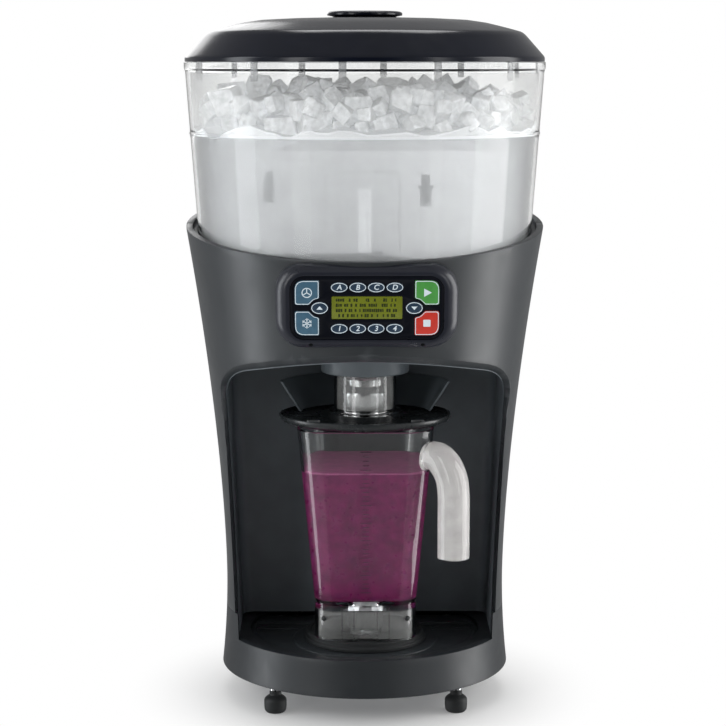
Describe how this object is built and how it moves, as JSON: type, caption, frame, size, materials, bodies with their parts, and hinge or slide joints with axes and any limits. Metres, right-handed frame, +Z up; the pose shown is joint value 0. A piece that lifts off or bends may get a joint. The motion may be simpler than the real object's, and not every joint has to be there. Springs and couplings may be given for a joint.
{
  "type": "slushie machine",
  "caption": "Counter-top slushie machine: clear round ice hopper with shaver, hourglass housing, keypad, and a blender bay with clear jar under a splash lid and chute.",
  "frame": {"origin": "on the floor, under the hopper's axis, at the centre of the footprint", "axes": "+Z up, -Y towards the user, +X to the user's right"},
  "size_m": [0.4474, 0.4474, 0.86],
  "materials": {
    "housing": "fine moulded grain, satin",
    "base": "satin",
    "inner": "satin",
    "lid": "polished",
    "bezel": "satin gloss",
    "keypad": "satin film",
    "key_blue": "satin film",
    "key_dark": "satin film",
    "key_green": "satin film",
    "key_red": "satin film",
    "lcd": "clear front",
    "circuit": "solder mask",
    "clear": "clear polycarbonate",
    "trim_black": "satin gloss",
    "rubber": "matte",
    "steel": "brushed",
    "motor": "satin",
    "alloy": "machined",
    "nylon": "natural",
    "vent": "fine grain"
  },
  "bodies": {
    "root": {"base_housing": "base", "base_plate": "steel", "deck_tray": "inner", "front_shell": "housing", "rear_shell": "housing", "rim_trim": "inner", "cavity_liner": "inner", "panel_bezel": "bezel", "bezel_screw_left": "steel", "bezel_screw_right": "steel", "keypad_overlay": "keypad", "lcd_window": "lcd", "control_board": "circuit", "hopper": "clear", "hopper_floor": "steel", "shaver_blade": "steel", "shaver_motor": "motor", "ice_duct": "inner", "duct_mouth": "inner", "jar_pad": "rubber", "blender_motor": "motor", "drive_belt": "rubber", "spindle_bearing": "alloy", "power_inlet": "trim_black", "rear_cover": "vent"},
    "lid": {"hopper_lid": "lid", "lid_knob": "lid"},
    "paddle": {"paddle": "trim_black", "paddle_gear": "nylon"},
    "shaver_rotor": {"shaver_pinion": "steel"},
    "spindle": {"drive_spindle": "steel", "spindle_pulley": "alloy"},
    "blender_rotor": {"motor_rotor": "alloy", "cooling_fan": "trim_black"},
    "jar": {"jar": "clear", "jar_handle": "clear", "cutter_bearing": "alloy"},
    "cutter": {"cutter": "steel", "jar_clutch": "rubber"},
    "splash_lid": {"splash_lid": "trim_black", "chute_sleeve": "clear", "splash_shield": "trim_black"},
    "foot_front_left": {"foot_front_left": "rubber"},
    "foot_front_right": {"foot_front_right": "rubber"},
    "foot_rear_left": {"foot_rear_left": "rubber"},
    "foot_rear_right": {"foot_rear_right": "rubber"},
    "key_pulse": {"key_pulse": "key_blue"},
    "key_shave": {"key_shave": "key_blue"},
    "key_start": {"key_start": "key_green"},
    "key_stop": {"key_stop": "key_red"},
    "key_up": {"key_up": "key_dark"},
    "key_down": {"key_down": "key_dark"},
    "key_a": {"key_a": "key_dark"},
    "key_b": {"key_b": "key_dark"},
    "key_c": {"key_c": "key_dark"},
    "key_d": {"key_d": "key_dark"},
    "key_1": {"key_1": "key_dark"},
    "key_2": {"key_2": "key_dark"},
    "key_3": {"key_3": "key_dark"},
    "key_4": {"key_4": "key_dark"}
  },
  "joints": [
    {"name": "lid_lift", "type": "slide", "parent": "root", "child": "lid", "axis": [0, 0, 1], "range_m": [0, 0.12]},
    {"name": "paddle_spin", "type": "hinge", "parent": "root", "child": "paddle", "pos_m": [0, 0, 0.527], "axis": [0, 0, 1], "continuous": true},
    {"name": "shaver_pinion_spin", "type": "hinge", "parent": "root", "child": "shaver_rotor", "pos_m": [0, 0.066, 0.527], "axis": [0, 0, 1], "continuous": true},
    {"name": "spindle_spin", "type": "hinge", "parent": "root", "child": "spindle", "pos_m": [0, -0.042, 0.054], "axis": [0, 0, 1], "continuous": true},
    {"name": "motor_spin", "type": "hinge", "parent": "root", "child": "blender_rotor", "pos_m": [0, 0.112, 0.054], "axis": [0, 0, 1], "continuous": true},
    {"name": "jar_lift", "type": "slide", "parent": "root", "child": "jar", "axis": [0, 0, 1], "range_m": [0, 0.022]},
    {"name": "cutter_spin", "type": "hinge", "parent": "jar", "child": "cutter", "pos_m": [0, -0.042, 0.12], "axis": [0, 0, 1], "continuous": true},
    {"name": "splash_lid_lift", "type": "slide", "parent": "root", "child": "splash_lid", "axis": [0, 0, 1], "range_m": [0, 0.022]},
    {"name": "foot_front_left_screw", "type": "hinge", "parent": "root", "child": "foot_front_left", "pos_m": [-0.112, -0.11, 0.03], "axis": [0, 0, 1], "continuous": true},
    {"name": "foot_front_right_screw", "type": "hinge", "parent": "root", "child": "foot_front_right", "pos_m": [0.112, -0.11, 0.03], "axis": [0, 0, 1], "continuous": true},
    {"name": "foot_rear_left_screw", "type": "hinge", "parent": "root", "child": "foot_rear_left", "pos_m": [-0.112, 0.11, 0.03], "axis": [0, 0, 1], "continuous": true},
    {"name": "foot_rear_right_screw", "type": "hinge", "parent": "root", "child": "foot_rear_right", "pos_m": [0.112, 0.11, 0.03], "axis": [0, 0, 1], "continuous": true},
    {"name": "key_pulse_press", "type": "slide", "parent": "root", "child": "key_pulse", "axis": [0, 0.989, 0.1478], "range_m": [0, 0.0008], "stiffness_N_per_m": 400},
    {"name": "key_shave_press", "type": "slide", "parent": "root", "child": "key_shave", "axis": [0, 0.989, 0.1478], "range_m": [0, 0.0008], "stiffness_N_per_m": 400},
    {"name": "key_start_press", "type": "slide", "parent": "root", "child": "key_start", "axis": [0, 0.989, 0.1478], "range_m": [0, 0.0008], "stiffness_N_per_m": 400},
    {"name": "key_stop_press", "type": "slide", "parent": "root", "child": "key_stop", "axis": [0, 0.989, 0.1478], "range_m": [0, 0.0008], "stiffness_N_per_m": 400},
    {"name": "key_up_press", "type": "slide", "parent": "root", "child": "key_up", "axis": [0, 0.989, 0.1478], "range_m": [0, 0.0008], "stiffness_N_per_m": 400},
    {"name": "key_down_press", "type": "slide", "parent": "root", "child": "key_down", "axis": [0, 0.989, 0.1478], "range_m": [0, 0.0008], "stiffness_N_per_m": 400},
    {"name": "key_a_press", "type": "slide", "parent": "root", "child": "key_a", "axis": [0, 0.989, 0.1478], "range_m": [0, 0.0008], "stiffness_N_per_m": 400},
    {"name": "key_b_press", "type": "slide", "parent": "root", "child": "key_b", "axis": [0, 0.989, 0.1478], "range_m": [0, 0.0008], "stiffness_N_per_m": 400},
    {"name": "key_c_press", "type": "slide", "parent": "root", "child": "key_c", "axis": [0, 0.989, 0.1478], "range_m": [0, 0.0008], "stiffness_N_per_m": 400},
    {"name": "key_d_press", "type": "slide", "parent": "root", "child": "key_d", "axis": [0, 0.989, 0.1478], "range_m": [0, 0.0008], "stiffness_N_per_m": 400},
    {"name": "key_1_press", "type": "slide", "parent": "root", "child": "key_1", "axis": [0, 0.989, 0.1478], "range_m": [0, 0.0008], "stiffness_N_per_m": 400},
    {"name": "key_2_press", "type": "slide", "parent": "root", "child": "key_2", "axis": [0, 0.989, 0.1478], "range_m": [0, 0.0008], "stiffness_N_per_m": 400},
    {"name": "key_3_press", "type": "slide", "parent": "root", "child": "key_3", "axis": [0, 0.989, 0.1478], "range_m": [0, 0.0008], "stiffness_N_per_m": 400},
    {"name": "key_4_press", "type": "slide", "parent": "root", "child": "key_4", "axis": [0, 0.989, 0.1478], "range_m": [0, 0.0008], "stiffness_N_per_m": 400}
  ],
  "couplings": [
    {"joint": "shaver_pinion_spin", "follows": "paddle_spin", "ratio": -1.75},
    {"joint": "motor_spin", "follows": "spindle_spin", "ratio": 1},
    {"joint": "cutter_spin", "follows": "spindle_spin", "ratio": 1},
    {"joint": "splash_lid_lift", "follows": "jar_lift", "ratio": 1}
  ]
}
